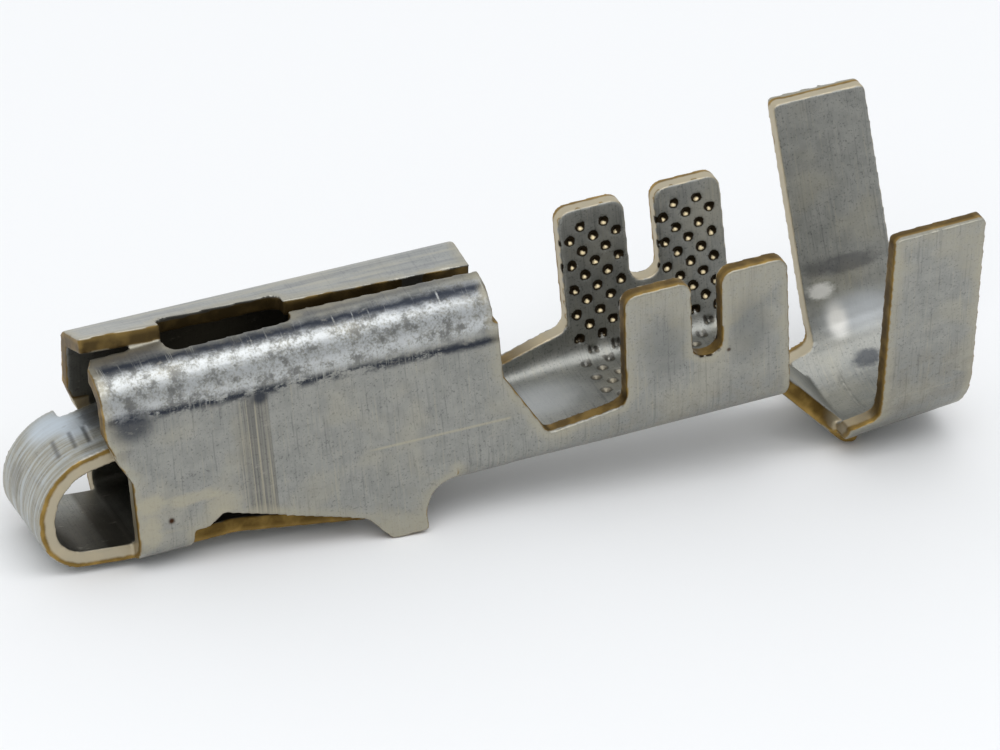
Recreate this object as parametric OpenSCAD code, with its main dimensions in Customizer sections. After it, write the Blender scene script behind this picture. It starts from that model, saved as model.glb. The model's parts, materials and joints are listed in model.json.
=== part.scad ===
// Female crimp terminal, folded from one strip of tin-plated brass.
// It lies as it rests, on its two feet and on the heel of the insulation barrel,
// with the blade mouth towards -X and the wire end towards +X.

/* [Sheet] */
// Thickness of the strip
sheet = 0.4; // [0.3:0.05:0.45]

/* [Box] */
// Outer width of the box at its floor
box_w = 3.5; // [3.3:0.1:4.2]
// Height of the box over its lower roof leaf
box_h = 4.65; // [4.4:0.05:5.2]
// Length of the box walls, from the lower front edge to the rear edge
box_l = 8.8; // [8.5:0.1:10]
// Lean of the wall under the lower roof leaf, in degrees
near_lean = 5.5; // [3:0.5:7]
// Lean of the wall under the upper roof leaf, in degrees
far_lean = 7.5; // [6:0.5:9]
// Further lean of that wall's upper half at the rear, in degrees
far_fold = 3; // [1:0.5:4]
// Height at which the upper half of that wall starts
far_fold_z = 2.9; // [2.8:0.1:3.1]
// Inner radius of the bend from floor to wall
floor_bend = 0.2; // [0.1:0.05:0.3]
// Inner radius of the bend into the lower roof leaf
shoulder_bend = 0.5; // [0.3:0.05:0.6]
// Inner radius of the bend into the upper roof leaf
crease_bend = 0.05; // [0.05:0.05:0.2]
// Height of the upper leaf's crease at the mouth, over the lower leaf
crease_lift = 0.18; // [0:0.01:0.3]
// How much lower the upper leaf's crease lies at the rear
crease_drop = 0.3; // [0:0.01:0.35]
// Upward slope of the upper roof leaf at the mouth, in degrees
leaf_rise = 21; // [10:1:25]
// Downward slope of the upper roof leaf at the rear, in degrees
leaf_fall = 10; // [0:1:12]
// Gap between the free edges of the two roof leaves, seen from above
leaf_gap = 0.14; // [0.12:0.02:0.2]
// How much wider that gap is at the rear
leaf_open = 0.36; // [0:0.02:0.4]
// Distance of the upper leaf's free edge beyond the middle
leaf_past = 0.05; // [0:0.05:0.2]
// How far the upper half of the walls and the roof stand in front of the lower half
brow = 0.5; // [0.3:0.05:0.6]
// Height at which the front edge starts to step forward
brow_z = 2.1; // [1.8:0.1:2.4]
// How far the front edge of the lower leaf falls back at its free edge
leaf_slant = 0.2; // [0:0.02:0.3]
// How far the roof stops short of the rear edge of the walls
roof_setback = 0.1; // [0.05:0.05:0.4]

/* [Roof window] */
// Distance of the window from the lower front edge
window_x = 1.4; // [1:0.1:2]
// Length of the window
window_l = 2.9; // [2.4:0.1:3.4]
// Reach of the window into the upper leaf, from its free edge
window_upper = 0.4; // [0.2:0.05:0.5]
// Reach of the window into the lower leaf, from the upper leaf's free edge
window_lower = 0.6; // [0.3:0.05:0.65]
// Corner radius of the window
window_r = 0.25; // [0.1:0.05:0.3]

/* [Spring tongue] */
// Width of the loop where it leaves the floor
loop_w = 2.6; // [2.4:0.05:2.65]
// Width of the loop at its upper bend
loop_top_w = 2.25; // [2:0.05:2.3]
// Offset of the loop's upper bend towards the upper leaf's side
loop_shift = 0.08; // [0:0.01:0.1]
// Distance of the tongue's edge from the middle, behind a step on the upper leaf's side
tongue_edge = 0.85; // [0.75:0.01:0.88]
// How far the loop stands in front of the lower front edge
loop_reach = 2.12; // [2:0.02:2.6]
// Height of the loop over its upper bend
loop_h = 2.76; // [2.74:0.02:3]
// Upward slope of the loop's lower limb, in degrees
loop_lift = 6; // [2:0.5:8]
// Inner radius of the bend into that slope
lift_bend = 4; // [2:0.25:4.5]
// Inner radius of the lower bend of the loop
loop_low_bend = 0.65; // [0.4:0.05:0.65]
// Inner radius of the upper bend of the loop
loop_high_bend = 1.15; // [0.9:0.05:1.15]
// Distance of that step in front of the lower front edge
step_x = 0.8; // [0.7:0.05:1]
// Upward slope of the tongue to its contact crest, in degrees
tongue_rise = 10; // [6:0.5:11]
// Downward slope of the tongue from its contact crest, in degrees
tongue_fall = 11; // [6:1:14]
// Inner radius of the contact crest
crest_bend = 2; // [1:0.25:3]
// Distance of the contact crest from the lower front edge
crest_x = 3.2; // [2.6:0.1:3.6]
// Length of the tongue behind its contact crest
tongue_tail = 2.4; // [1.6:0.1:3]

/* [Lance and feet] */
// Distance of the floor opening from the lower front edge
opening_x = 1.3; // [1:0.1:1.6]
// Length of the floor opening
opening_l = 5.9; // [5.6:0.1:6.4]
// Height of the relief at the front end of the floor opening
relief_z = 0.6; // [0.45:0.05:0.7]
// Height of the relief's peak above its front end
relief_rise = 0.26; // [0.1:0.02:0.4]
// Distance of the relief's peak from the front end of the floor opening
relief_peak = 0.7; // [0.5:0.05:1]
// Width of the locking lance
lance_w = 2.6; // [1.8:0.1:2.6]
// Length of the lance in front of its bend
lance_flat = 1; // [0.6:0.1:1.6]
// Length of the lance behind its bend
lance_tail = 3; // [2:0.1:3.1]
// Downward slope of the lance, in degrees
lance_slope = 10; // [5:1:11]
// Inner radius of the lance's bend
lance_bend = 1; // [0.5:0.25:2]
// Distance of the feet from the lower front edge
foot_x = 5.85; // [5.6:0.05:6.1]
// Length of a foot along its lower edge
foot_l = 0.85; // [0.6:0.05:1]
// Depth of the feet below the floor
foot_drop = 0.82; // [0.7:0.02:1]
// Length of the slope down the front of a foot
foot_lead = 0.55; // [0.4:0.05:0.7]
// Depth at which the front of a foot leaves the relief
foot_root = 0.18; // [0.1:0.02:0.3]
// Radius of the round notch behind a foot
notch_r = 0.75; // [0.6:0.05:0.8]
// Height of the notch's centre above the sole of the foot
notch_lift = 0.35; // [0.2:0.05:0.4]

/* [Conductor barrel] */
// Distance from the rear edge of the box to the front wings
channel_l = 2.7; // [2.4:0.1:3.2]
// Height at which the rear edge of the box starts to slope down
channel_top = 2.4; // [2:0.1:2.8]
// Distance from the rear edge of the box to the lowest point of the channel walls
channel_dip = 0.9; // [0.7:0.05:1.2]
// Height of the channel walls at their lowest point
channel_low = 0.8; // [0.7:0.02:0.95]
// Height of the channel walls in front of the wings
channel_high = 1.15; // [1.05:0.05:1.4]
// Length of one conductor wing along the wire
wing_l = 1.6; // [1.4:0.05:1.9]
// Width of the slot between two conductor wings
slot_w = 0.71; // [0.5:0.01:0.9]
// Height of the bottom of the slot
slot_z = 1.93; // [1.75:0.01:2.2]
// Height of the conductor wings
wing_h = 4.03; // [3.6:0.01:4.6]
// Outer width of the barrel where the wings leave the bends
barrel_w = 3.9; // [3.6:0.1:4.4]
// Inner radius of the barrel's bends
barrel_bend = 0.45; // [0.4:0.05:0.8]
// Outward flare of the conductor wings, in degrees
wing_flare = 5; // [2:0.5:8]
// Corner radius of the conductor wings
wing_r = 0.32; // [0.2:0.02:0.5]

/* [Crimp pits] */
// Width of a pit at the barrel's inner face
pit_d = 0.21; // [0.16:0.01:0.24]
// Depth of a pit
pit_depth = 0.1; // [0.06:0.01:0.14]
// Distance between two columns of pits, along the wire
pit_step = 0.28; // [0.26:0.01:0.34]
// Distance between two pits of a column, along the folded strip
pit_pitch = 0.61; // [0.5:0.01:0.8]
// Distance of the first column from the front edge of the wings
pit_inset = 0.24; // [0.2:0.01:0.3]

/* [Insulation barrel] */
// Width of the neck in front of the insulation barrel
neck_w = 2.1; // [1.8:0.1:2.3]
// Downward slope of the neck, in degrees
neck_slope = 52; // [44:1:56]
// Radius of the neck's bends at the middle of the sheet
neck_bend = 0.35; // [0.3:0.05:0.5]
// How far the bottom of the insulation barrel lies below the floor
insulation_drop = 2; // [1.7:0.05:2.2]
// Inner radius of the insulation barrel
insulation_r = 2; // [1.7:0.05:2.2]
// Distance from the neck's lower bend to the insulation barrel
insulation_lead = 0.18; // [0.1:0.01:0.5]
// Length of the insulation barrel
insulation_l = 2.2; // [1.8:0.05:2.6]
// Height of the insulation wings above the floor
insulation_h = 4.58; // [4:0.02:5]
// Outward flare of the insulation wings, in degrees
insulation_flare = 15; // [10:1:18]
// Upward pitch of the insulation barrel towards the wire, in degrees
insulation_pitch = 5; // [0:1:7]
// Slant of the insulation barrel's cut edges, seen from above, in degrees
insulation_skew = 1.5; // [0:0.5:3]
// Corner radius of the insulation wings
insulation_corner = 0.15; // [0.1:0.05:0.4]
// How far the insulation barrel runs out towards the neck at both sides
gusset_l = 0.66; // [0.5:0.02:0.7]
// Depth below the floor at which that starts
gusset_top = 0.9; // [0.8:0.05:1]
// Depth below the floor at which it ends
gusset_low = 1.5; // [1.4:0.05:1.55]

/* [Hidden] */

// Facets of a bend, and stations of a lofted stretch
arc_steps = 10;
loft_steps = 8;
$fn = 48;
// Reach of a cutting body past the faces that it cuts
past = 1;
// Overlap of two stretches that join, and set-in of the joining one at both faces of the sheet
lap = 0.3;
seat = 0.008;

// Box section, from the free edge of the lower roof leaf round to the top of the other wall
floor_out = floor_bend + sheet;
shoulder_out = shoulder_bend + sheet;
crease_out = crease_bend + sheet;
half_floor = box_w / 2 - floor_out;
crease_h = box_h + crease_lift;
near_wall = wall_length(box_h, shoulder_out, near_lean);
far_low = (far_fold_z - floor_out * (1 + sin(far_lean))) / cos(far_lean);
near_edge = leaf_past + leaf_gap;
near_top = half_floor + (floor_out - shoulder_out) * cos(near_lean) - near_wall * sin(near_lean);
near_leaf = near_top - near_edge;
box_fold = [
    [near_leaf, shoulder_bend, 90 - near_lean],
    [near_wall, floor_bend, 90 + near_lean],
    [2 * half_floor, floor_bend, 90 + far_lean],
    [far_low + lap, 0, 0]
];
box_span = box_l + brow + 2 * past;

// Upper half of the far wall, which starts inside the lower half
far_at = [half_floor, floor_out] + turned([floor_out, far_low], far_lean);
far_lap = 1.5 * lap;
far_high = wall_length(crease_h, crease_out, far_lean) - far_low - far_lap;
far_bend = 2;

// Front edge of the walls above the brow's step: a slope, then a steeper one
brow_part = 0.55;
brow_climb = 1.9;
brow_steep = 3;
brow_mid = brow_part * brow;
brow_mid_z = brow_z + brow_climb * brow_mid;
brow_top_z = brow_mid_z + brow_steep * (brow - brow_mid);

// Spring tongue, from the floor round the loop and over the contact crest
loop_low_out = loop_low_bend + sheet;
loop_high_out = loop_high_bend + sheet;
lift_out = lift_bend + sheet;
loop_run = (loop_reach - lift_out * sin(loop_lift) - loop_low_out * (1 - sin(loop_lift))) / cos(loop_lift);
loop_low_z = lift_out * (1 - cos(loop_lift)) + loop_run * sin(loop_lift) + loop_low_out * cos(loop_lift);
loop_rise = loop_h - loop_low_z - loop_high_out;
loop_end = loop_high_out * (1 - sin(tongue_rise)) - loop_reach;
crest_run = (crest_x - loop_end) / cos(tongue_rise);
tongue_fold = [
    [lap, lift_bend, loop_lift],
    [loop_run, loop_low_bend, 90 - loop_lift],
    [loop_rise, loop_high_bend, 90 - tongue_rise],
    [crest_run, crest_bend, tongue_rise + tongue_fall],
    [tongue_tail, 0, 0]
];

// Locking lance, drawn upside down
lance_fold = [
    [lap + lance_flat, lance_bend, lance_slope],
    [lance_tail, 0, 0]
];

// Lower edge of the walls beside the floor opening
relief_top = relief_z + relief_rise;
opening_end = opening_x + opening_l;
opening_top = relief_top + lap;
foot_end = foot_x + foot_l;
relief_r = 0.1;
foot_root_r = 0.4;
sole_r = 0.08;
skirt_h = opening_top + lap + foot_drop + past;

// Conductor barrel section, from one wing tip to the other
barrel_out = barrel_bend + sheet;
barrel_turn = 90 - wing_flare;
barrel_half = barrel_w / 2 - barrel_out * sin(barrel_turn);
wing_run = (wing_h + past) / cos(wing_flare);
barrel_fold = [
    [wing_run, barrel_bend, barrel_turn],
    [2 * barrel_half, barrel_bend, barrel_turn],
    [wing_run, 0, 0]
];
barrel_at = [-barrel_half, barrel_out] + turned([-wing_run, -barrel_out], -barrel_turn);
wing_x = box_l + channel_l;
barrel_l = 2 * wing_l + slot_w;
barrel_end = wing_x + barrel_l;
slot_x = wing_x + wing_l + slot_w / 2;
slot_r = 0.45 * slot_w;
channel_r = 0.15;
fillet_r = 0.3;

// Crimp pits, a staggered lattice over the inner face of the barrel
pit_point = 0.04;
pit_columns = floor((barrel_l - 2 * pit_inset) / pit_step) + 1;
barrel_mid = wing_run + barrel_bend * barrel_turn * PI / 180 + barrel_half;
pit_rows = floor(barrel_mid / pit_pitch) - 1;

// Neck, at the middle of the sheet: a bend down, a slope and a bend into the insulation barrel
neck_lead = 0.15;
flat_r = 100;
neck_fall = 2 * neck_bend * (1 - cos(neck_slope));
neck_run = (insulation_drop - neck_fall) / sin(neck_slope);
neck_top = [barrel_end - neck_lead, sheet / 2];
neck_mid = neck_top + neck_bend * [sin(neck_slope), cos(neck_slope) - 1];
neck_low = neck_mid + neck_run * [cos(neck_slope), -sin(neck_slope)];
heel = neck_low + neck_bend * [sin(neck_slope), cos(neck_slope)];

// Insulation barrel section and its place behind the heel
insulation_mid = insulation_r + sheet / 2;
neck_roll = 3 * insulation_mid;
insulation_turn = 90 - insulation_flare;
gusset_fall = 0.15;
gusset_r = 0.25;
gusset_tip = 0.06;
pitch_along = [cos(insulation_pitch), sin(insulation_pitch)];
pitch_down = [sin(insulation_pitch), -cos(insulation_pitch)];
insulation_at = heel + neck_bend * pitch_down;
insulation_x = insulation_at[0] + insulation_lead;
insulation_deep = insulation_h + insulation_drop;
insulation_run = (insulation_deep + past) / cos(insulation_flare);
insulation_fold = [
    [insulation_run, insulation_r, insulation_turn],
    [0, insulation_r, insulation_turn],
    [insulation_run, 0, 0]
];

// Resting pose: the line under the feet and the heel is level
foot_at = [foot_x, -foot_drop];
heel_out = neck_bend + sheet / 2;
heel_off = heel - foot_at;
rest_pitch = asin(heel_out / norm(heel_off)) - atan2(heel_off[1], heel_off[0]);
loop_at = [loop_high_out - loop_reach, loop_low_z + loop_rise];
tail_at = insulation_at + (insulation_lead + insulation_l) * pitch_along + sheet / 2 * pitch_down;
front_end = levelled(loop_at)[0] - loop_high_out;
rear_end = levelled(tail_at)[0];

// Straight length of a box wall whose upper bend reaches a given height
function wall_length(height, outer, lean) =
    (height - floor_out * (1 + sin(lean)) - outer * (1 - sin(lean))) / cos(lean);

// A point of the side view, turned into the resting pose
function levelled(p) = [
    p[0] * cos(rest_pitch) - p[1] * sin(rest_pitch),
    p[0] * sin(rest_pitch) + p[1] * cos(rest_pitch)
];

function mix(a, b, part) = a + (b - a) * part;
function eased(part) = part * part * (3 - 2 * part);
function unit(v) = v / norm(v);
function reversed(list) = [for (i = [len(list) - 1 : -1 : 0]) list[i]];
function turned(v, angle) = [v[0] * cos(angle) - v[1] * sin(angle), v[0] * sin(angle) + v[1] * cos(angle)];

// Points along a folded strip at a depth below its outer face.
// Each fold is a straight run, then a bend to the left with an inner radius and an angle.
function trace(folds, depth, at, heading, i = 0) =
    i == len(folds) ? [] :
    let (run = folds[i][0], outer = folds[i][1] + sheet, turn = folds[i][2])
    let (bend_at = at + run * turned([1, 0], heading))
    let (centre = bend_at + outer * turned([0, 1], heading))
    let (arc = [for (k = [0 : arc_steps])
        centre - (outer - depth) * turned([0, 1], heading + turn * k / arc_steps)])
    concat(
        i == 0 ? [at + depth * turned([0, 1], heading)] : [],
        turn == 0 ? [bend_at + depth * turned([0, 1], heading)] :
            [for (k = [run == 0 ? 1 : 0 : arc_steps]) arc[k]],
        trace(folds, depth, centre - outer * turned([0, 1], heading + turn), heading + turn, i + 1)
    );

// Place and heading on the inner face of a folded strip, at a distance along it
function inner_place(folds, at, heading, distance, i = 0) =
    let (run = folds[i][0], inner = folds[i][1], turn = folds[i][2])
    let (arc = inner * turn * PI / 180, on = heading + (distance - run) / inner * 180 / PI)
    let (centre = at + run * turned([1, 0], heading) + (inner + sheet) * turned([0, 1], heading))
    distance <= run ? [at + distance * turned([1, 0], heading) + sheet * turned([0, 1], heading), heading] :
    distance <= run + arc ? [centre - inner * turned([0, 1], on), on] :
    inner_place(
        folds,
        centre - (inner + sheet) * turned([0, 1], heading + turn),
        heading + turn,
        distance - run - arc,
        i + 1
    );

// Section of a folded strip: its outer face there, its inner face back
function section(folds, at, heading, set_in = 0) = concat(
    trace(folds, set_in, at, heading),
    reversed(trace(folds, sheet - set_in, at, heading))
);

// Outline with rounded corners, from points that each hold x, y and a radius
function rounded(path) = [
    for (i = [0 : len(path) - 1])
        each corner(path[(i + len(path) - 1) % len(path)], path[i], path[(i + 1) % len(path)])
];

function corner(before, at, after) =
    let (here = [at[0], at[1]], radius = at[2])
    let (back = unit([before[0], before[1]] - here), on = unit([after[0], after[1]] - here))
    let (half = acos(back * on) / 2, side = cross(back, on) < 0 ? 1 : -1)
    let (centre = here + unit(back + on) * radius / sin(half))
    let (start = here + back * radius / tan(half) - centre)
    radius == 0
        ? [here]
        : [for (k = [0 : arc_steps]) centre + turned(start, side * (180 - 2 * half) * k / arc_steps)];

// Section of the channel and the barrel, for a part of the way from the box to the wings
function barrel_section(part) =
    let (ease = eased(part), half = mix(half_floor, barrel_half, ease))
    let (bend = mix(floor_bend, barrel_bend, ease), outer = bend + sheet)
    let (near = mix(90 + near_lean, barrel_turn, ease), far = mix(90 + far_lean, barrel_turn, ease))
    let (start = [-half, outer] + turned([-wing_run, -outer], -near))
    let (folds = [[wing_run, bend, near], [2 * half, bend, far], [wing_run, 0, 0]])
    section(folds, start, -near, seat * (1 - ease));

// Section of the far wall's upper half and the upper roof leaf, for a part of the way to the rear
function leaf_section(part) =
    let (lean = mix(far_fold / 10, far_fold, part), slope = mix(leaf_rise, -leaf_fall, part))
    let (stem = [
        [far_lap, far_bend, lean],
        [far_high - crease_drop * part, crease_bend, 90 - slope - far_lean - lean]
    ])
    let (edge = trace(stem, 0, far_at, 90 + far_lean))
    let (leaf = (edge[len(edge) - 1][0] + leaf_past) / cos(slope))
    section(concat(stem, [[leaf, 0, 0]]), far_at, 90 + far_lean, seat);

// Section of the neck: a strip rolled round a radius, at a place and slope of the side view
function neck_ring(at, slope, radius) =
    let (reach = neck_w / 2 / radius * 180 / PI, depth = sheet / 2 - seat)
    [for (face = [1, -1], k = [0 : arc_steps])
        let (a = face * reach * (2 * k / arc_steps - 1), r = radius + face * depth)
        let (up = radius - r * cos(a))
        [at[0] - up * sin(slope), r * sin(a), at[1] + up * cos(slope)]];

// Solid through a row of sections
module loft(rings) {
    size = len(rings[0]);
    last = len(rings) - 1;
    polyhedron(
        points = [for (ring = rings) each ring],
        faces = concat(
            [[for (i = [0 : size - 1]) i]],
            [for (j = [0 : last - 1], i = [0 : size - 1])
                let (a = j * size + i, b = j * size + (i + 1) % size)
                    each [[a, b + size, b], [a, a + size, b + size]]],
            [[for (i = [size - 1 : -1 : 0]) last * size + i]]
        )
    );
}

// Places a section of the terminal at x, over a length
module along(x, length)
    translate([x, 0, 0])
        rotate([90, 0, 90])
            linear_extrude(length)
                children();

// Places a side view of the terminal across a width, around the middle
module across(width)
    translate([0, width / 2, 0])
        rotate([90, 0, 0])
            linear_extrude(width)
                children();

// Side view of the box: its front edge steps forward under a brow, its roof stops short at the rear
module box_outline()
    polygon([
        [0, -past],
        [box_l, -past],
        [box_l, box_h - shoulder_out],
        [box_l - roof_setback, box_h - shoulder_out],
        [box_l - roof_setback, 2 * box_h],
        [-brow, 2 * box_h],
        [-brow, brow_top_z],
        [-brow_mid, brow_mid_z],
        [0, brow_z]
    ]);

// Plan of the roof window
module window()
    translate([window_x, -leaf_past - window_lower])
        polygon(rounded([
            [0, 0, window_r],
            [window_l, 0, window_r],
            [window_l, window_lower + window_upper, window_r],
            [0, window_lower + window_upper, window_r]
        ]));

// Plan of what is cut from the front edge and the free edge of the lower roof leaf
module leaf_cut() {
    gap_mid = -leaf_past - leaf_gap / 2;
    polygon([
        [-brow - past, -near_top],
        [-brow, -near_top],
        [leaf_slant - brow, -near_edge],
        [leaf_slant - brow, gap_mid],
        [-brow - past, gap_mid]
    ]);
    polygon([
        [window_x + window_l / 2, -near_edge],
        [box_l, -near_edge - leaf_open],
        [box_l, gap_mid],
        [window_x + window_l / 2, gap_mid]
    ]);
}

// Upper half of the far wall and the upper roof leaf, which twists from the mouth to the rear
module upper_leaf()
    loft([
        for (k = [0 : loft_steps])
            let (part = k / loft_steps)
                [for (p = leaf_section(part)) [mix(-brow - past / 2, box_l + past / 2, part), p[0], p[1]]]
    ]);

module box_trim()
    intersection() {
        children();
        across(2 * box_w)
            box_outline();
    }

module box()
    difference() {
        union() {
            box_trim()
                along(-brow - past, box_span)
                    polygon(section(box_fold, [-near_edge, box_h], 180));
            box_trim()
                upper_leaf();
        }
        translate([0, 0, brow_top_z])
            linear_extrude(box_h)
                window();
        translate([0, 0, brow_top_z])
            linear_extrude(box_h)
                leaf_cut();
        translate([opening_x, -box_w, -past])
            cube([opening_l, 2 * box_w, opening_top + past]);
    }

// Side view of a wall beside the floor opening, down to its foot
module skirt_outline()
    difference() {
        polygon(rounded([
            [opening_x - lap, opening_top + lap, 0],
            [opening_x - lap, relief_z, 0],
            [opening_x + relief_peak / 2, relief_z, relief_r],
            [opening_x + relief_peak, relief_top, relief_r],
            [foot_x - foot_lead, -foot_root, foot_root_r],
            [foot_x, -foot_drop, sole_r],
            [foot_end, -foot_drop, sole_r],
            [foot_end, notch_lift - foot_drop, 0],
            [opening_end + lap, notch_lift - foot_drop, 0],
            [opening_end + lap, opening_top + lap, 0]
        ]));
        translate([foot_end + notch_r, notch_lift - foot_drop])
            circle(notch_r);
    }

// Wall below the box's own section, set into it and reaching down to the foot
module skirt(lean)
    intersection() {
        along(opening_x - past, opening_l + 2 * past)
            translate([half_floor, floor_out])
                rotate(lean)
                    translate([floor_bend + seat, -skirt_h])
                        square([sheet - 2 * seat, 2 * skirt_h]);
        across(2 * box_w)
            skirt_outline();
    }

// Front view of the loop, which narrows upwards
module loop_taper()
    polygon([
        for (end = [[-1, -past], [1, -past], [1, box_h], [-1, box_h]])
            let (part = end[1] / loop_h)
                [end[0] * mix(loop_w, loop_top_w, part) / 2 + loop_shift * part, end[1]]
    ]);

module tongue()
    difference() {
        intersection() {
            translate([lap, 0, 0])
                mirror([1, 0, 0])
                    across(2 * loop_w)
                        polygon(section(tongue_fold, [0, 0], 0, seat));
            along(-box_l, 2 * box_l)
                loop_taper();
        }
        translate([-step_x, tongue_edge, brow_z])
            cube([2 * box_l, box_w, box_h]);
    }

module lance()
    across(lance_w)
        translate([opening_x - lap, sheet])
            mirror([0, 1])
                polygon(section(lance_fold, [0, 0], 0, seat));

// Side view of the channel and the conductor wings
module barrel_outline()
    polygon(rounded([
        [box_l - lap, -past, 0],
        [box_l - lap, channel_top + lap * (channel_top - channel_low) / channel_dip, 0],
        [box_l + channel_dip, channel_low, channel_r],
        [wing_x, channel_high, fillet_r],
        [wing_x, wing_h, wing_r],
        [wing_x + wing_l, wing_h, wing_r],
        [wing_x + wing_l, slot_z, slot_r],
        [wing_x + wing_l + slot_w, slot_z, slot_r],
        [wing_x + wing_l + slot_w, wing_h, wing_r],
        [barrel_end, wing_h, wing_r],
        [barrel_end, -past, 0]
    ]));

module pit()
    translate([0, 0, -pit_depth])
        cylinder(h = 2 * pit_depth, r1 = pit_point, r2 = pit_d - pit_point);

// A pit is left out where the slot or the tip of a wing leaves no room for it
module pits()
    for (column = [0 : pit_columns - 1], row = [-pit_rows : pit_rows]) {
        x = wing_x + pit_inset + column * pit_step;
        place = inner_place(
            barrel_fold, barrel_at, -barrel_turn, barrel_mid + (row + column % 2 / 2) * pit_pitch
        );
        top = abs(x - slot_x) < (slot_w + pit_d) / 2 ? slot_z : wing_h;
        if (place[0][1] < top - pit_d)
            translate([x, place[0][0], place[0][1]])
                rotate([place[1], 0, 0])
                    pit();
    }

module barrel_walls()
    intersection() {
        loft(concat(
            [[for (p = barrel_section(0)) [box_l - 2 * lap, p[0], p[1]]]],
            [for (k = [0 : loft_steps])
                let (part = k / loft_steps)
                    [for (p = barrel_section(part)) [mix(box_l + lap / 2, wing_x, part), p[0], p[1]]]],
            [[for (p = barrel_section(1)) [barrel_end + past, p[0], p[1]]]]
        ));
        across(4 * box_w)
            barrel_outline();
    }

module conductor_barrel()
    difference() {
        barrel_walls();
        pits();
    }

module neck()
    loft(concat(
        [neck_ring(neck_top - [lap, 0], 0, flat_r)],
        [for (k = [0 : loft_steps])
            let (a = neck_slope * k / loft_steps)
                neck_ring(neck_top + neck_bend * [sin(a), cos(a) - 1], -a, flat_r)],
        [for (k = [0 : loft_steps])
            let (a = mix(neck_slope, -insulation_pitch, k / loft_steps))
                neck_ring(heel - neck_bend * [sin(a), cos(a)], -a, neck_roll)],
        [for (x = [insulation_lead / 2, insulation_lead + lap])
            neck_ring(insulation_at + x * pitch_along, insulation_pitch, insulation_mid)]
    ));

// The barrel's axis is pitched, but its wings are cut square to the terminal
module insulation_barrel()
    intersection() {
        translate([insulation_at[0], 0, insulation_at[1]])
            rotate([0, -insulation_pitch, 0])
                along(insulation_lead - past, insulation_l + 2 * past)
                    polygon(section(
                        insulation_fold,
                        [0, insulation_mid] + turned([0, -insulation_r - sheet], -insulation_turn)
                            + insulation_run * turned([-1, 0], -insulation_turn),
                        -insulation_turn
                    ));
        translate([insulation_x, 0, 0])
            rotate(insulation_skew)
                across(4 * insulation_deep)
                    polygon(rounded([
                        [0, -insulation_drop - past, 0],
                        [insulation_l, -insulation_drop - past, 0],
                        [insulation_l, insulation_h, insulation_corner],
                        [0, insulation_h, insulation_corner],
                        [0, -gusset_top, gusset_r],
                        [-gusset_l, -gusset_top - gusset_fall, gusset_tip],
                        [-gusset_l, -gusset_low, gusset_tip],
                        [0, -gusset_low - gusset_l / 2, 0]
                    ]));
    }

module terminal()
    color("silver")
        translate([-(front_end + rear_end) / 2, 0, -levelled(foot_at)[1]])
            rotate([0, -rest_pitch, 0]) {
                box();
                mirror([0, 1, 0])
                    skirt(near_lean);
                skirt(far_lean);
                tongue();
                lance();
                conductor_barrel();
                neck();
                insulation_barrel();
            }

terminal();
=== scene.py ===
import json
import math

import bmesh
import bpy
import numpy as np
from mathutils import Matrix, Vector, bvhtree, kdtree


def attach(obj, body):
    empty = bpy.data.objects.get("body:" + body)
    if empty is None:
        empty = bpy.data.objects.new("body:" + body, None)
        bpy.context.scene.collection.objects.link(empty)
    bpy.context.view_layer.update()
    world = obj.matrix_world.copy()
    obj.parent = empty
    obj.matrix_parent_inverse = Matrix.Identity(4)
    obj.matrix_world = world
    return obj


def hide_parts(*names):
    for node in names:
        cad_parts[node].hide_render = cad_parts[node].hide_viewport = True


mmPerM = 1000

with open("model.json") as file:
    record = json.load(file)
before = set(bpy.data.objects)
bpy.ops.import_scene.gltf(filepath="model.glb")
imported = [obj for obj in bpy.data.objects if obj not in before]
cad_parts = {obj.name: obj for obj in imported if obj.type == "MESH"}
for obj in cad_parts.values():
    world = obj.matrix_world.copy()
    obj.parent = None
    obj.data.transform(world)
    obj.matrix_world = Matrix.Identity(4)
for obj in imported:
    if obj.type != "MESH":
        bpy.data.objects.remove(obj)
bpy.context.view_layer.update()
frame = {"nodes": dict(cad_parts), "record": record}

# The strip was drawn level, in millimetres, and then tilted to rest; its blade mouth tells how.
mounts = {m["name"]: m for m in frame["record"]["mounts"]}
mouthDrawn = Vector((-0.5, 0, 3.85))
mouthAxis = mounts["blade_mouth"]["axis"]
pitch = math.atan2(-mouthAxis[2], -mouthAxis[0])
tilt = Matrix.Rotation(-pitch, 3, "Y")
restOffset = Vector(mounts["blade_mouth"]["pos_m"]) * mmPerM - tilt @ mouthDrawn


def atRest(drawn):
    return (tilt @ Vector(drawn) + restOffset) / mmPerM


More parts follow.
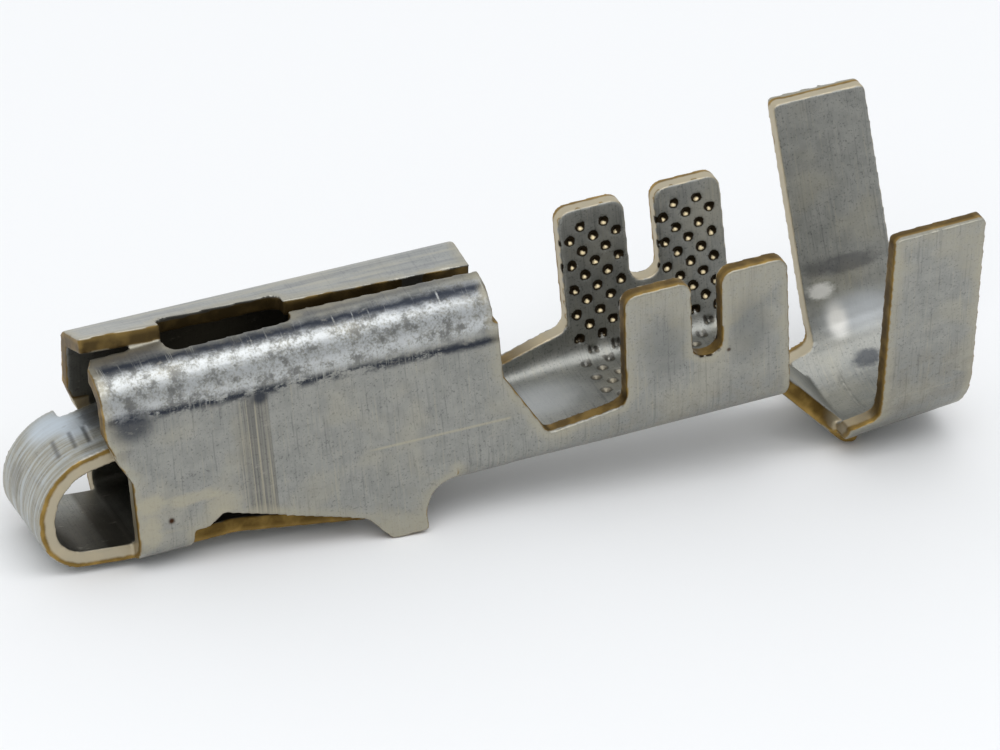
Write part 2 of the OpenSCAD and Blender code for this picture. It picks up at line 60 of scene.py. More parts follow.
# Lengths are in mm, places are as drawn.
strip = {
    "voxel": 0.044,             # grain of the rounded surface
    "smoothing": 3,
    "smoothFactor": 0.5,
    "keepBeside": 0.12,         # full grain is kept this far beside cut edges
    "triangles": 196000,
    "merge": 1e-4,
    "sheet": 0.4,
    "edgeFrom": 1.25,           # thicknesses seen inwards from which a face is a cut edge
    "pitTo": 0.9,               # thicknesses left below the bottom of a pit
    "probe": 0.003,             # start of a probe below the surface
    "probeReach": 9,
    "ledge": 0.012,             # a narrower facet is a joint of two stretches, not a cut
    "edgePoints": 400,          # a patch of fewer points is no cut edge
    "pitPoints": 150,           # and one of more points is no crimp pit
    "pitsFrom": 11.4,
    "pitsTo": 15.5,
    "litPit": 0.5,              # upward lean from which a pit's wall glints
    "jointFrom": 7.1,           # where the walls run past the end of the floor bends
    "jointTo": 7.6,
    "jointFacing": 0.9,         # sideways part of the normal there
    "heelFrom": 16.6,           # where the insulation barrel's cut edge runs out towards the neck
    "heelTo": 17.5,
    "heelFront": 0.9,           # from the middle, its face towards the box
    "heelLedge": 1.25,          # and its upper face
    "heelTop": -0.5,
    "heelForward": 0.5,         # parts of their normals
    "heelUpward": 0.6,
    "heelSideways": 0.3,
    "soften": 2,
    "boxMiddle": (0, 0, 2.3),   # the outer face looks away from here
    "loopMiddle": (-0.6, 0, 1.45),
    "loopTop": 3.0,
    "loopSide": 1.36,
    "loopEdgeFacing": 0.7,
}


def evaluatedMesh(obj):
    graph = bpy.context.evaluated_depsgraph_get()
    return bpy.data.meshes.new_from_object(obj.evaluated_get(graph), depsgraph=graph)


def swapMesh(obj, mesh):
    old = obj.data
    obj.modifiers.clear()
    obj.data = mesh
    bpy.data.meshes.remove(old)


def mergedCopy(node):
    bm = bmesh.new()
    bm.from_mesh(node.data)
    bmesh.ops.transform(bm, matrix=Matrix.Scale(mmPerM, 4), verts=bm.verts)
    bmesh.ops.remove_doubles(bm, verts=bm.verts, dist=strip["merge"])
    bm.verts.index_update()
    bm.faces.index_update()
    bm.normal_update()
    return bm


def roundedStrip(bm):
    mesh = bpy.data.meshes.new("terminalStrip")
    bm.to_mesh(mesh)
    obj = bpy.data.objects.new("terminalStrip", mesh)
    bpy.context.scene.collection.objects.link(obj)
    remesh = obj.modifiers.new("round", "REMESH")
    remesh.mode = "VOXEL"
    remesh.voxel_size = strip["voxel"]
    remesh.adaptivity = 0
    smooth = obj.modifiers.new("ease", "SMOOTH")
    smooth.factor = strip["smoothFactor"]
    smooth.iterations = strip["smoothing"]
    swapMesh(obj, evaluatedMesh(obj))
    return obj


# Numbers the patches that pairs of joined members make, each by its lowest member.
def patches(count, pairs, member):
    joined = member[pairs[:, 0]] & member[pairs[:, 1]]
    a, b = pairs[joined, 0], pairs[joined, 1]
    label = np.arange(count)
    while True:
        low = np.minimum(label[a], label[b])
        lower = label.copy()
        np.minimum.at(lower, a, low)
        np.minimum.at(lower, b, low)
        for _ in range(4):
            lower = lower[lower]
        if (lower == label).all():
            return label
        label = lower


# The CAD's facets as a tree, without those too narrow to be more than a joint.
def wideFacets(bm):
    wide = [
        [vert.index for vert in face.verts] for face in bm.faces
        if 2 * face.calc_area() > strip["ledge"] * max(edge.calc_length() for edge in face.edges)
    ]
    return bvhtree.BVHTree.FromPolygons([vert.co for vert in bm.verts], wide)


# Each point's place on the CAD and its facet's normal, as drawn, and the thicknesses below it.
def probedPoints(co, bm):
    wide = wideFacets(bm)
    whole = bvhtree.BVHTree.FromBMesh(bm)
    reach = strip["probeReach"]
    at, normal, depth = np.zeros((len(co), 3)), np.zeros((len(co), 3)), np.zeros(len(co))
    for i, point in enumerate(co):
        at[i], normal[i] = place, facing = wide.find_nearest(Vector(point))[:2]
        below = whole.ray_cast(place - facing * strip["probe"], -facing, reach)[3]
        depth[i] = (reach if below is None else below) / strip["sheet"]
    turn = np.array(tilt)
    return (at - np.array(restOffset)) @ turn, normal @ turn, depth


# Sorts the points: outer face 0, inner face 1, cut edge 2, pit 3, wall of a pit that glints 4.
def pointKinds(co, pairs, bm):
    at, normal, depth = probedPoints(co, bm)
    x, y, z = at.T
    forward, sideways, upwards = -normal[:, 0], abs(normal[:, 1]), normal[:, 2]

    # The outer face looks away from the middle of the box and barrels, or of the loop.
    inLoop = (x < 0) & (z < strip["loopTop"]) & (abs(y) < strip["loopSide"])
    away = at - np.where(inLoop[:, None], strip["loopMiddle"], strip["boxMiddle"])
    away[inLoop, 1] = 0
    away[~inLoop, 0] = 0
    kind = np.where((away * normal).sum(axis=1) > 0, 0, 1)

    joint = (x > strip["jointFrom"]) & (x < strip["jointTo"]) & (sideways > strip["jointFacing"])
    ledge = (upwards > strip["heelUpward"]) & (sideways < strip["heelSideways"])
    heel = (forward > strip["heelForward"]) & (abs(y) > strip["heelFront"])
    heel |= ledge & (abs(y) > strip["heelLedge"])
    heel &= (x > strip["heelFrom"]) & (x < strip["heelTo"]) & (z < strip["heelTop"])
    loopEdge = inLoop & (sideways > strip["loopEdgeFacing"])
    bare = (depth > strip["edgeFrom"]) & ~joint | loopEdge | heel
    label = patches(len(co), pairs, bare)
    size = np.bincount(label, weights=bare, minlength=len(co))[label]
    inBarrel = (x > strip["pitsFrom"]) & (x < strip["pitsTo"])
    pitWall = bare & (size < strip["pitPoints"]) & inBarrel
    pitBottom = (depth < strip["pitTo"]) & (kind == 1) & inBarrel
    kind[bare & (size >= strip["edgePoints"])] = 2
    kind[pitWall | pitBottom] = 3
    kind[pitWall & (upwards > strip["litPit"])] = 4
    print("points", np.bincount(kind, minlength=5).tolist(), "out, in, cut, pits, lit")
    return kind


def finder(co, member):
    index = np.nonzero(member)[0]
    tree = kdtree.KDTree(len(index))
    for i in index:
        tree.insert(co[i], int(i))
    tree.balance()
    return tree


def distances(co, member, tree):
    found = np.zeros(len(co))
    for i in np.nonzero(member)[0]:
        found[i] = tree.find(co[i])[2]
    return found


def softened(values, pairs, times):
    share = np.bincount(pairs.ravel(), minlength=len(values)) + 1
    for _ in range(times):
        total = values.copy()
        np.add.at(total, pairs[:, 0], values[pairs[:, 1]])
        np.add.at(total, pairs[:, 1], values[pairs[:, 0]])
        values = total / share
    return values


def store(mesh, name, values):
    layer = mesh.attributes.new(name, "FLOAT", "POINT")
    layer.data.foreach_set("value", np.asarray(values, dtype=np.float32))


# Keeps on every point what it is: cut edge, pit, outer to inner face, distance to a cut edge.
def markStrip(obj, bm):
    mesh = obj.data
    co = np.empty(len(mesh.vertices) * 3)
    mesh.vertices.foreach_get("co", co)
    co = co.reshape(-1, 3)
    pairs = np.empty(len(mesh.edges) * 2, dtype=np.int64)
    mesh.edges.foreach_get("vertices", pairs)
    pairs = pairs.reshape(-1, 2)
    kind = pointKinds(co, pairs, bm)
    outer, inner, edge, pit, lit = [kind == k for k in range(5)]
    toOuter = distances(co, edge, finder(co, outer))
    toInner = distances(co, edge, finder(co, inner))
    across = toOuter / np.maximum(toOuter + toInner, 1e-6)
    toEdge = distances(co, ~edge, finder(co, edge))
    store(mesh, "cutEdge", softened(edge.astype(float), pairs, strip["soften"]))
    store(mesh, "pit", softened((pit | lit).astype(float), pairs, 1))
    store(mesh, "lit", softened(lit.astype(float), pairs, 1))
    store(mesh, "land", np.where(edge, across, np.where(outer, 0.0, 1.0)))
    store(mesh, "rim", toEdge)
    return np.nonzero((toEdge > strip["keepBeside"]) & ~pit & ~lit)[0]


# Takes triangles out of the plain faces only, so that edges and pits stay crisp.
def thinStrip(obj, plain):
    obj.vertex_groups.new(name="plain").add(plain.tolist(), 1, "REPLACE")
    thin = obj.modifiers.new("thin", "DECIMATE")
    thin.ratio = min(1, strip["triangles"] / (2 * len(obj.data.polygons)))
    thin.vertex_group = "plain"
    swapMesh(obj, evaluatedMesh(obj))


stripFacets = mergedCopy(frame["nodes"]["terminal"])
terminalStrip = roundedStrip(stripFacets)
print("strip rounded", len(terminalStrip.data.polygons), "faces")
thinStrip(terminalStrip, markStrip(terminalStrip, stripFacets))
print("strip thinned", len(terminalStrip.data.polygons), "faces")
stripFacets.free()
terminalStrip.data.transform(Matrix.Scale(1 / mmPerM, 4))
terminalStrip.data.shade_smooth()


class Paint:
    def __init__(self, tree, socket=None):
        self.tree = tree
        self.socket = socket

    def node(self, kind, settings=None, inputs=None, out=0):
        made = self.tree.nodes.new(kind)
        for name, value in (settings or {}).items():
            setattr(made, name, value)
        for key, value in (inputs or {}).items():
            self.join(made.inputs[key], value)
        return Paint(self.tree, made.outputs[out] if made.outputs else None)

    def join(self, socket, value):
        if isinstance(value, Paint):
            self.tree.links.new(value.socket, socket)
        elif isinstance(value, tuple) and socket.type == "RGBA":
            socket.default_value = (*value, 1)
        else:
            socket.default_value = value

    def math(self, operation, a, b):
        return self.node("ShaderNodeMath", {"operation": operation}, {0: a, 1: b})

    def __add__(self, other):
        return self.math("ADD", self, other)

    def __radd__(self, other):
        return self.math("ADD", other, self)

    def __sub__(self, other):
        return self.math("SUBTRACT", self, other)

    def __rsub__(self, other):
        return self.math("SUBTRACT", other, self)

    def __mul__(self, other):
        return self.math("MULTIPLY", self, other)

    def __rmul__(self, other):
        return self.math("MULTIPLY", other, self)

    def __abs__(self):
        return self.math("ABSOLUTE", self, 0)

    def over(self, other):
        return self.math("MAXIMUM", self, other)

    def rise(self, low, high):
        return self.node(
            "ShaderNodeMapRange",
            {"interpolation_type": "SMOOTHSTEP"},
            {"Value": self, "From Min": low, "From Max": high},
        )

    def near(self, centre, reach):
        return 1 - abs(self - centre).rise(0, reach)

    def blend(self, a, b):
        return self.node(
            "ShaderNodeMix", {"data_type": "RGBA"}, {"Factor": self, 6: a, 7: b}, out=2
        )

    def noise(self, perMm, detail, roughness):
        scaled = self.node(
            "ShaderNodeVectorMath", {"operation": "MULTIPLY"}, {0: self, 1: perMm}
        )
        return self.node(
            "ShaderNodeTexNoise",
            {},
            {"Vector": scaled, "Scale": 1, "Detail": detail, "Roughness": roughness},
        )


tinPlate = {
    "grey": (0.265, 0.268, 0.248),
    "pale": (0.34, 0.338, 0.31),
    # Dull grey, also painted as shade low inside the insulation barrel.
    "dullAndShade": (0.15, 0.155, 0.145),
    "dark": (0.085, 0.085, 0.09),
    "cream": (0.46, 0.42, 0.31),
    "olive": (0.15, 0.135, 0.10),
    "smudge": (0.035, 0.04, 0.052),
    "blue": (0.60, 0.67, 0.74),
    # Polish, also used for a painted sheen and painted highlights.
    "polishAndSheen": (0.60, 0.62, 0.63),
    "highlightWhite": (0.97, 0.95, 0.90),
    "shade": (0.055, 0.048, 0.034),
    "rust": (0.05, 0.02, 0.008),
    "brassBrown": (0.11, 0.066, 0.015),
    "brassGold": (0.46, 0.30, 0.085),
    "brassPale": (0.58, 0.52, 0.39),
    "pitBrown": (0.022, 0.014, 0.006),
    "pitGold": (0.70, 0.58, 0.36),
    "metallic": 0.9,
    "roughness": {"tin": 0.36, "mottle": 0.2, "polishAndSheen": 0.12, "cutEdge": 0.05, "smudge": 0.1},
    "relief": {"specks": 0.5, "rolled": 0.5, "pressed": 2.5, "strength": 0.4, "depth": 0.00001},
    # Repeats per mm each way, detail and roughness.
    "grains": {
        "specks": ((20, 20, 20), 2, 0.5),
        "mottle": ((3, 3, 3), 5, 0.65),
        "cloud": ((0.7, 0.7, 0.7), 2, 0.5),
        "rolled": ((22, 0.7, 0.7), 3, 0.6),
        "lengthwise": ((0.35, 9, 5), 3, 0.6),
        "drawnRound": ((0.5, 9, 0.5), 3, 0.65),
        "patchy": ((2.6, 5, 5), 4, 0.7),
        "hatch": ((14, 1.2, 1.2), 3, 0.6),
        "scuff": ((26, 0.2, 0.2), 2, 0.5),
        "brassy": ((2.5, 2.5, 2.5), 3, 0.5),
    },
    # Where a region fades in, in mm as drawn.
    "limits": {
        "boxFront": (-0.65, -0.5),
        "boxRear": (8.9, 8.8),
        "barrels": (9.5, 11.5),
        "insulation": (16.4, 16.8),
        "loopRear": (0.2, 0.0),
        "loopTop": (3.0, 2.9),
        "nearSide": (-0.1, -0.2),
        "roofHeight": (4.2, 4.35),
        "roofSide": (-0.12, -0.02),
        "leafHeight": (4.2, 4.3),
        "leafSide": (-0.75, -0.6),
        "shoulderHeight": (3.5, 3.8),
        "shoulderSide": (-0.7, -0.95),
        "lineSide": (-1.0, -1.1),
        "lineRear": (6.8, 8.2),
        "wallTop": (3.6, 3.3),
        "wornFront": (2.3, 2.9),
        "wornRear": (3.31, 3.27),
        "scratch": (5.4, 5.8),
        "barrelLow": (1.3, 0.7),
        "creamRim": (0.3, 0.04),
        "boxInside": (1.26, 1.34),
        "insideFront": (0.1, 0.9),
        "insideTop": (4.05, 3.95),
        "insideFloor": (0.2, 0.4),
        # Where the painted shade inside the box deepens.
        "shadeDeepening": (0, 1.4),
        "insulationLow": (-0.7, -1.3),
        "loopLow": (1.5, 0.9),
        "loopNear": (1.0, -0.2),
        "pressHeight": (2.0, 2.1),
        "pressLength": (0.28, 0.4),
        "farWings": (0.6, 1.2),
        "heel": (-0.6, -1.2),
        "leafEdge": (3.9, 4.1),
        "uprightPits": (0.4, 0.8),
    },
    # Ranges of a grain or an attribute over which a mask fades in.
    "spans": {
        "tone": (0.3, 0.72),
        "polishAndSheen": (0.34, 0.66),
        "upperHatch": (0.2, 0.44),
        "lowerPatches": (0.40, 0.54),
        "lowerHatch": (0.25, 0.5),
        "raggedMark": (0.1, 0.7),
        "softMark": (0.05, 0.9),
        "shear": (0.22, 0.4),
        "glint": (0.4, 0.7),
        "outerGlint": (0.45, 0.1),
        "cutEdge": (0.2, 0.7),
        "pit": (0.05, 0.4),
        "lit": (0.45, 0.95),
    },
    # Colour, strength and, where a grain breaks it up, the range of the grain that shows it.
    "coats": {
        "rolledLines": ("dark", 0.4, 0.54, 0.74),
        "rolledShine": ("cream", 0.25, 0.46, 0.28),
        "specks": ("dark", 0.5, 0.56, 0.72),
        "clouds": ("cream", 0.25, 0.5, 0.68),
        "roofLines": ("dark", 0.4, 0.5, 0.66),
        "roofCream": ("cream", 0.5, 0.5, 0.36),
        "roofSheen": ("polishAndSheen", 0.3),
        "nearLeafShade": ("dark", 0.55),
        "loopBlue": ("blue", 0.6, 0.58, 0.36),
        "loopLines": ("dark", 0.35, 0.56, 0.7),
        "shoulderDull": ("dark", 0.45, 0.5, 0.36),
        "wornBand": ("olive", 0.4),
        "wornLines": ("dark", 0.4, 0.46, 0.64),
        "wornCream": ("cream", 0.55, 0.46, 0.32),
        "scratch": ("cream", 0.6),
        "barrelLow": ("olive", 0.3, 0.4, 0.6),
        "rim": ("cream", 0.45),
        "insulationLow": ("dullAndShade", 0.25),
        "loopLow": ("shade", 0.7),
        "pressMarks": ("dark", 0.6),
    },
    # Single marks: middle and reach in mm as drawn, colour, strength, whether they are ragged.
    "marks": [
        ((0.15, -1.5, 3.5), (0.9, 0.6, 0.7), "smudge", 0.8, False),
        ((3.12, -1.5, 3.42), (0.36, 0.5, 0.3), "smudge", 0.9, False),
        ((0.35, -1.7, 1.5), (0.55, 0.4, 0.4), "cream", 0.6, True),
        ((1.3, -1.7, 1.42), (1.1, 0.4, 0.26), "cream", 0.55, True),
        ((0.3, -1.7, 0.8), (0.45, 0.4, 0.7), "cream", 0.55, True),
        ((2.0, -1.7, 1.1), (0.8, 0.4, 0.5), "cream", 0.45, True),
        ((0.78, -1.7, 1.0), (0.13, 0.4, 0.13), "rust", 1, False),
        ((13.95, -2.05, 1.95), (0.09, 0.4, 0.09), "rust", 0.9, False),
        ((12.4, -2.1, 2.5), (0.95, 0.5, 1.6), "dullAndShade", 0.45, False),
        ((14.45, -2.1, 2.4), (0.9, 0.5, 1.6), "dullAndShade", 0.5, False),
        # Painted bluish reflections on the loop's upper limb.
        ((-1.15, 0.7, 2.6), (0.9, 0.8, 0.9), "blue", 0.75, False),
        ((-0.65, 0.35, 2.75), (0.8, 0.9, 0.7), "blue", 0.7, False),
        ((-2.05, 0.46, 1.65), (0.5, 0.5, 0.8), "olive", 0.4, True),
        ((-0.15, 0.3, 2.85), (0.5, 0.9, 0.4), "dark", 0.6, True),
        # A painted highlight on the floor of the channel.
        ((10.4, 0.3, 0.4), (1.9, 1.3, 0.3), "polishAndSheen", 0.5, False),
        # On the far wing's bend inside the insulation barrel: a painted dark reflection, a painted
        # band of highlight and two painted highlights.
        ((18.3, 2.12, 0.74), (1.6, 0.5, 0.36), "dark", 0.6, True),
        ((18.5, 1.75, -0.35), (1.6, 0.7, 0.8), "polishAndSheen", 0.9, False),
        ((17.75, 2.02, 0.22), (0.5, 0.4, 0.3), "highlightWhite", 0.8, True),
        ((18.0, 1.74, -0.45), (0.42, 0.5, 0.75), "highlightWhite", 1, False),
        ((18.41, 1.05, -1.19), (0.6, 0.4, 0.4), "smudge", 0.75, True),
    ],
    "pressMarks": (-1.27, -0.86, -0.52),
    "pressMarkY": -0.2,
    "pressMarkWidth": 0.09,
    "pressMarkSlant": 0.1,
    "markWander": 1.1,
    # The dark lines beside the shoulder and the scratch, in mm.
    "upperLine": {"at": -0.68, "reach": 0.27, "slope": 0.0275, "wander": 0.2},
    "lowerLine": {"at": 3.80, "reach": 0.2, "slope": 0.037, "wander": 0.22},
    "scratchLine": {"at": 1.57, "reach": 0.05, "slope": 0.02},
    "rearSmudge": 0.2,
    "polishFront": 0.6,
    "polishPerMm": 0.018,
    "polishSpecks": 0.7,
    "rimWander": 0.35,
    # Painted shade inside the box: at the mouth, and how much more further in.
    "shadeAtMouth": 0.64,
    "shadeDeeper": 0.2,
    "paleLoop": 0.75,
    "paleWings": 0.8,
    "paleHeel": 0.6,
    "shearWander": 0.25,
    "glint": 0.35,
    "outerGlint": 0.4,
    "leafEdgeShade": 0.35,
    "pitDirtAndShade": (0.55, 1.0),         # in the floor and in the wings
    "pitShine": (0.15, 0.9),
}


def tinMaterial():
    material = bpy.data.materials.new("tinPlate")
    material.use_nodes = True
    material.node_tree.nodes.clear()
    paint = Paint(material.node_tree)
    t, limits, spans = tinPlate, tinPlate["limits"], tinPlate["spans"]
    drawn = paint.node(
        "ShaderNodeMapping",
        {"vector_type": "POINT"},
        {
            "Vector": paint.node("ShaderNodeTexCoord", out=3),
            "Location": -(tilt.inverted() @ restOffset),
            "Rotation": (0, pitch, 0),
            "Scale": (mmPerM, mmPerM, mmPerM),
        },
    )
    x, y, z = [paint.node("ShaderNodeSeparateXYZ", {}, {0: drawn}, out=i) for i in range(3)]
    cutEdge, pit, lit, land, rim = [
        paint.node("ShaderNodeAttribute", {"attribute_name": name}, out=2)
        for name in ("cutEdge", "pit", "lit", "land", "rim")
    ]
    grains = {name: drawn.noise(*grain) for name, grain in t["grains"].items()}
    specks, mottle, patchy, hatch = [grains[k] for k in ("specks", "mottle", "patchy", "hatch")]

    def coat(under, name, region=None, grain=None):
        colour, strength, *span = t["coats"][name]
        mask = strength
        if grain is not None:
            mask = grain.rise(*span) * mask
        if region is not None:
            mask = region * mask
        return mask.blend(under, t[colour])

    onBox = x.rise(*limits["boxRear"]) * x.rise(*limits["boxFront"])
    onBarrels = x.rise(*limits["barrels"])
    onInsulation = x.rise(*limits["insulation"])
    onLoop = x.rise(*limits["loopRear"]) * z.rise(*limits["loopTop"])
    outside = 1 - land
    nearSide = y.rise(*limits["nearSide"]) * outside
    nearBox = onBox * nearSide
    loopOutside = onLoop * outside

    # Dull rolled tin, clouded and specked.
    tone = mottle.rise(*spans["tone"]).blend(t["grey"], t["pale"])
    tone = coat(tone, "rolledLines", grain=grains["rolled"])
    tone = coat(tone, "rolledShine", grain=grains["rolled"])
    tone = coat(tone, "specks", grain=specks)
    tone = coat(tone, "clouds", grain=grains["cloud"])

    # Roof leaves, streaked lengthwise and with a painted sheen; painted shade on the near leaf
    # beside the slit; and the loop, streaked the way it was bent, with a painted bluish
    # reflection.
    roof = onBox * z.rise(*limits["roofHeight"]) * y.rise(*limits["roofSide"])
    tone = coat(tone, "roofLines", roof, grains["lengthwise"])
    tone = coat(tone, "roofCream", roof, grains["lengthwise"])
    # A painted sheen brightens the roof.
    tone = coat(tone, "roofSheen", roof)
    leafHeight = z.rise(*limits["leafHeight"])
    # Painted shade on the near leaf beside the slit under the upper leaf.
    tone = coat(tone, "nearLeafShade", nearBox * leafHeight * y.rise(*limits["leafSide"]))
    # A painted bluish reflection on the outside of the loop.
    tone = coat(tone, "loopBlue", loopOutside, grains["drawnRound"])
    tone = coat(tone, "loopLines", loopOutside, grains["drawnRound"])

    # The rubbed shoulder of the box, also painted lighter as a sheen, between two lines of dark
    # smudges that are partly painted reflections of dark surroundings.
    shoulder = nearBox * z.rise(*limits["shoulderHeight"]) * y.rise(*limits["shoulderSide"])
    # Rubbed to a polish and painted lighter as a sheen.
    polishAndSheen = shoulder * (mottle + (specks - 0.5) * t["polishSpecks"]).rise(*spans["polishAndSheen"])
    tone = (polishAndSheen * (t["polishFront"] + x * t["polishPerMm"])).blend(tone, t["polishAndSheen"])
    tone = coat(tone, "shoulderDull", shoulder, mottle)
    upperLine, lowerLine = [
        (axis + x * line["slope"] + patchy * line["wander"]).near(line["at"], line["reach"])
        for axis, line in ((y, t["upperLine"]), (z, t["lowerLine"]))
    ]
    upperLine = nearBox * leafHeight * upperLine * hatch.rise(*spans["upperHatch"])
    rear = x.rise(*limits["lineRear"]) * t["rearSmudge"]
    lowerLine = nearBox * y.rise(*limits["lineSide"]) * lowerLine
    lowerLine = lowerLine * (patchy + rear).rise(*spans["lowerPatches"])
    lowerLine = lowerLine * (hatch + rear).rise(*spans["lowerHatch"])
    # Dark smudges, partly painted reflections of dark surroundings.
    smudge = upperLine + lowerLine
    tone = smudge.blend(tone, t["smudge"])

    # The near wall: a band worn into upright stripes and a long scratch; cream beside the edges.
    wall = nearBox * z.rise(*limits["wallTop"])
    worn = wall * x.rise(*limits["wornFront"]) * x.rise(*limits["wornRear"])
    tone = coat(tone, "wornBand", worn)
    tone = coat(tone, "wornLines", worn, grains["scuff"])
    tone = coat(tone, "wornCream", worn, grains["scuff"])
    line = t["scratchLine"]
    scratch = (z + x * line["slope"]).near(line["at"], line["reach"]) * x.rise(*limits["scratch"])
    tone = coat(tone, "scratch", wall * scratch)
    tone = coat(tone, "barrelLow", onBarrels * nearSide * z.rise(*limits["barrelLow"]), mottle)
    ragged = rim + (mottle - 0.5) * t["rimWander"]
    tone = coat(tone, "rim", ragged.rise(*limits["creamRim"]) * outside)

    # Painted shade inside the box, lighter at the mouth and deeper inwards; painted shade with
    # some brown tarnish on the loop's lower inner face; painted shade low inside the insulation
    # barrel.
    within = (1 - abs(y).rise(*limits["boxInside"])) * x.rise(*limits["insideFront"])
    within = onBox * within * z.rise(*limits["insideTop"]) * z.rise(*limits["insideFloor"])
    # Painted shade inside the box grows from the mouth inwards.
    insideShade = t["shadeAtMouth"] + x.rise(*limits["shadeDeepening"]) * t["shadeDeeper"]
    tone = ((land * onBox).over(within) * insideShade).blend(tone, t["shade"])
    # Painted shade low inside the insulation barrel.
    tone = coat(tone, "insulationLow", land * onInsulation * z.rise(*limits["insulationLow"]))
    # Painted shade with some brown tarnish on the near part of the loop's lower inner face.
    loopLow = z.rise(*limits["loopLow"]) * y.rise(*limits["loopNear"])
    tone = coat(tone, "loopLow", land * onLoop * loopLow)

    for at, reach, colour, strength, isRagged in t["marks"]:
        inX, inY, inZ = [axis.near(*span) for axis, *span in zip((x, y, z), at, reach)]
        shape = inX * inY * inZ
        if isRagged:
            shape = (shape + (patchy - 0.5) * t["markWander"]).rise(*spans["raggedMark"])
        else:
            shape = shape.rise(*spans["softMark"])
        tone = (shape * strength).blend(tone, t[colour])
    fromMiddle = y - t["pressMarkY"]
    slanted = x - fromMiddle * t["pressMarkSlant"]
    first, second, third = [slanted.near(at, t["pressMarkWidth"]) for at in t["pressMarks"]]
    pressed = (first + second + third) * (1 - abs(fromMiddle).rise(*limits["pressLength"]))
    pressed = pressed * z.rise(*limits["pressHeight"]) * loopOutside
    tone = coat(tone, "pressMarks", pressed)

    # Bare brass where the strip was cut, with a pale sheared zone towards its inner face.
    farWings = onBarrels * y.rise(*limits["farWings"])
    heel = onInsulation * z.rise(*limits["heel"])
    paleEdge = (onLoop * t["paleLoop"]).over(farWings * t["paleWings"]).over(heel * t["paleHeel"])
    shear = (land + (mottle - 0.5) * t["shearWander"]).rise(*spans["shear"]) * paleEdge
    glint = grains["brassy"].rise(*spans["glint"]) * t["glint"]
    glint = glint + land.rise(*spans["outerGlint"]) * t["outerGlint"]
    brass = glint.blend(t["brassBrown"], t["brassGold"])
    brass = (onBox * z.rise(*limits["leafEdge"]) * t["leafEdgeShade"]).blend(brass, t["shade"])
    brass = shear.blend(brass, t["brassPale"])
    tone = cutEdge.rise(*spans["cutEdge"]).blend(tone, brass)

    # Pits are dark with dirt and painted shade, and the wall that faces up gets a painted
    # highlight; those in the floor are fainter.
    upright = z.rise(*limits["uprightPits"])
    dirtAndShade, shine = [low + upright * (high - low) for low, high in (t["pitDirtAndShade"], t["pitShine"])]
    tone = (pit.rise(*spans["pit"]) * dirtAndShade).blend(tone, t["pitBrown"])
    tone = (lit.rise(*spans["lit"]) * shine).blend(tone, t["pitGold"])

    rough = t["roughness"]
    gloss = rough["tin"] + mottle * rough["mottle"] - polishAndSheen * rough["polishAndSheen"]
    gloss = gloss + cutEdge * rough["cutEdge"] + smudge * rough["smudge"]
    relief = t["relief"]
    height = specks * relief["specks"] + grains["rolled"] * relief["rolled"]
    height = height - pressed * relief["pressed"]
    bump = paint.node(
        "ShaderNodeBump",
        {},
        {"Height": height, "Strength": relief["strength"], "Distance": relief["depth"]},
    )
    shader = paint.node(
        "ShaderNodeBsdfPrincipled",
        {},
        {"Base Color": tone, "Roughness": gloss, "Metallic": t["metallic"], "Normal": bump},
    )
    paint.node("ShaderNodeOutputMaterial", {}, {"Surface": shader})
    return material


terminalStrip.data.materials.append(tinMaterial())
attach(terminalStrip, "root")
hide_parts("terminal")
print("strip finished")

floorBoard = {"size": 1.2, "colour": (0.86, 0.86, 0.86), "roughness": 0.7}


def layFloor():
    half = floorBoard["size"] / 2
    mesh = bpy.data.meshes.new("floorBoard")
    corners = [(-half, -half, 0), (half, -half, 0), (half, half, 0), (-half, half, 0)]
    mesh.from_pydata(corners, [], [(0, 1, 2, 3)])
    board = bpy.data.objects.new("floorBoard", mesh)
    bpy.context.scene.collection.objects.link(board)
    material = bpy.data.materials.new("paleFloor")
    material.use_nodes = True
    shader = material.node_tree.nodes["Principled BSDF"]
    shader.inputs["Base Color"].default_value = (*floorBoard["colour"], 1)
    shader.inputs["Roughness"].default_value = floorBoard["roughness"]
    mesh.materials.append(material)


layFloor()
print("floor laid")

# Softboxes, placed round the terminal by azimuth and elevation as the camera is.
softboxes = {
    "key": {"azimuth": -40, "elevation": 52, "distance": 0.30, "size": 0.20, "radiance": 1.9},
    "top": {"azimuth": 35, "elevation": 68, "distance": 0.30, "size": 0.24, "radiance": 1.6},
}
# A white sweep closes the studio behind the terminal; the camera's side is dimmer.
studio = {
    "front": ((0.48, 0.49, 0.50), (0.64, 0.67, 0.71)),      # low and high
    "back": ((1.05, 1.05, 1.04), (0.80, 0.82, 0.84)),
    "strength": 1.0,
    "aim": (0, 0, 0.003),
    "heightSpan": (0.0, 0.9),
    "depthSpan": (-0.2, 0.7),
}


def awayFrom(azimuth, elevation):
    a, e = math.radians(azimuth), math.radians(elevation)
    return Vector((math.sin(a) * math.cos(e), -math.cos(a) * math.cos(e), math.sin(e)))


def hangSoftboxes():
    for name, box in softboxes.items():
        lamp = bpy.data.lights.new(name, "AREA")
        lamp.shape = "SQUARE"
        lamp.size = box["size"]
        lamp.energy = box["radiance"] * math.pi * box["size"] ** 2
        holder = bpy.data.objects.new(name, lamp)
        out = awayFrom(box["azimuth"], box["elevation"])
        holder.location = Vector(studio["aim"]) + out * box["distance"]
        holder.rotation_euler = out.to_track_quat("Z", "Y").to_euler()
        bpy.context.scene.collection.objects.link(holder)


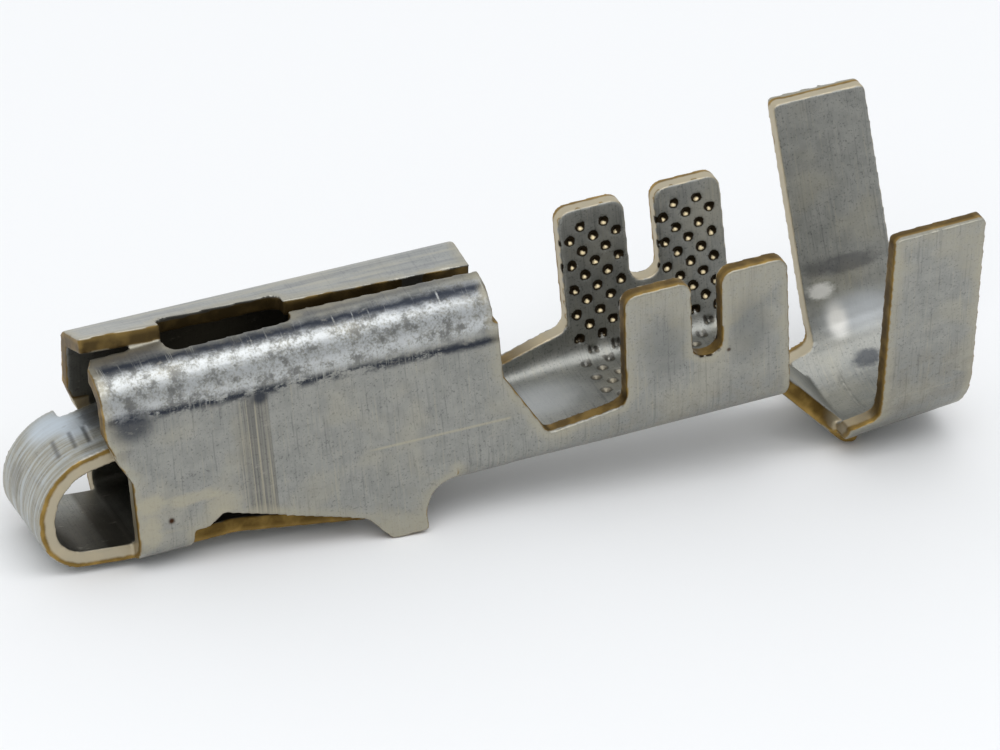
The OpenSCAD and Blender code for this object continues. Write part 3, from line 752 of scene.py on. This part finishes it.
def lightStudio():
    world = bpy.data.worlds.new("studio")
    world.use_nodes = True
    world.node_tree.nodes.clear()
    paint = Paint(world.node_tree)
    look = paint.node("ShaderNodeTexCoord", out=0)
    depth, height = [paint.node("ShaderNodeSeparateXYZ", {}, {0: look}, out=i) for i in (1, 2)]
    rising = height.rise(*studio["heightSpan"])
    front, behind = [rising.blend(*studio[side]) for side in ("front", "back")]
    sky = depth.rise(*studio["depthSpan"]).blend(front, behind)
    back = paint.node("ShaderNodeBackground", {}, {"Color": sky, "Strength": studio["strength"]})
    paint.node("ShaderNodeOutputWorld", {}, {"Surface": back})
    bpy.context.scene.world = world
    bpy.context.scene.view_settings.view_transform = "Standard"


hangSoftboxes()
lightStudio()
print("studio lit")

# The photograph's view: the strip's own axes in the picture, and one corner's pixel.
photoView = {
    "right": (0.9293, -0.3643, -0.0597),
    "up": (0.2374, 0.4663, 0.8522),
    "pixelsPerMm": 45.4,
    "corner": (-0.08, -1.75, 0),
    "cornerPixel": (139, 569.6),
    "imageSize": (1000, 750),
    "distance": 0.35,
    "sensor": 36,
    "clipStart": 0.01,
}


def setCamera():
    v = photoView
    right = (tilt @ Vector(v["right"])).normalized()
    up = tilt @ Vector(v["up"])
    up = (up - right * up.dot(right)).normalized()
    back = right.cross(up)
    wide, high = v["imageSize"]
    acrossMm = (wide / 2 - v["cornerPixel"][0]) / v["pixelsPerMm"]
    upMm = (v["cornerPixel"][1] - high / 2) / v["pixelsPerMm"]
    middle = atRest(v["corner"]) + (right * acrossMm + up * upMm) / mmPerM
    camera = bpy.data.cameras.new("photoCamera")
    camera.sensor_width = v["sensor"]
    camera.lens = v["sensor"] * v["distance"] / (wide / v["pixelsPerMm"] / mmPerM)
    camera.clip_start = v["clipStart"]
    holder = bpy.data.objects.new("photoCamera", camera)
    bpy.context.scene.collection.objects.link(holder)
    turn = Matrix((right, up, back)).transposed().to_4x4()
    holder.matrix_world = Matrix.Translation(middle + back * v["distance"]) @ turn
    bpy.context.scene.camera = holder


setCamera()
print("camera set")

bpy.context.view_layer.update()
